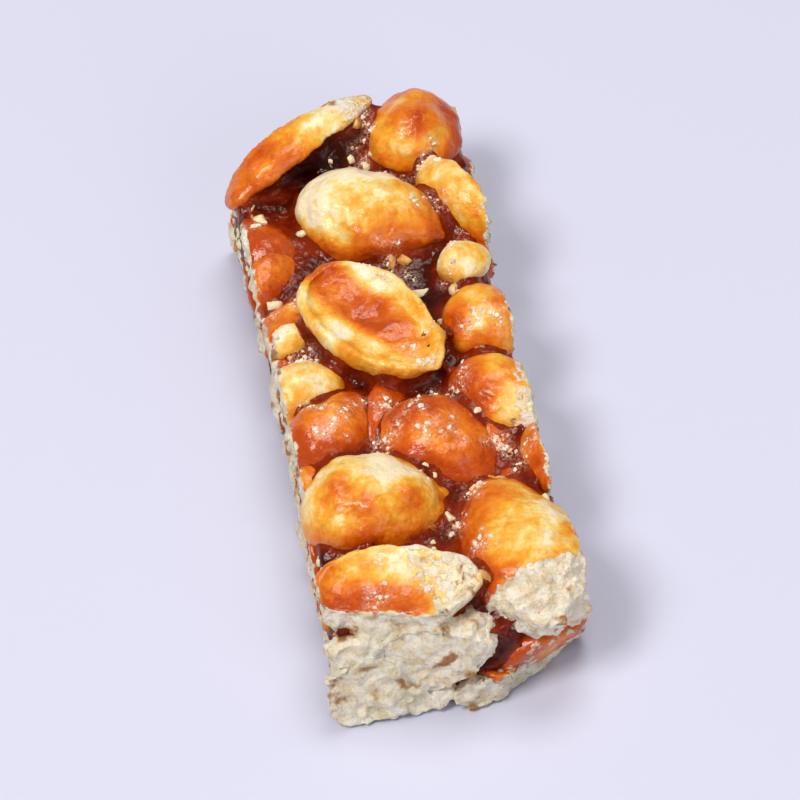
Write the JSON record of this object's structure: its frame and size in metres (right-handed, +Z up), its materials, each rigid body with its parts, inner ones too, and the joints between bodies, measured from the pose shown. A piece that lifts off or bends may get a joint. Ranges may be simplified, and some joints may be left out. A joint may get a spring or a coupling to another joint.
{
  "type": "peanut brittle bar",
  "caption": "Hand-cut bar of peanut brittle: glazed split peanuts bound in set boiled sugar, with an uneven nutty top and sides and a flat base.",
  "frame": {"origin": "centre of the bar's flat base", "axes": "+Y along the bar's length, +X across its width, +Z up through its thickness"},
  "size_m": [0.0258, 0.07, 0.0149],
  "materials": {
    "peanut": "glossy",
    "boiled_sugar": "glossy"
  },
  "bodies": {
    "root": {"brittle_bar": "peanut"}
  },
  "joints": []
}
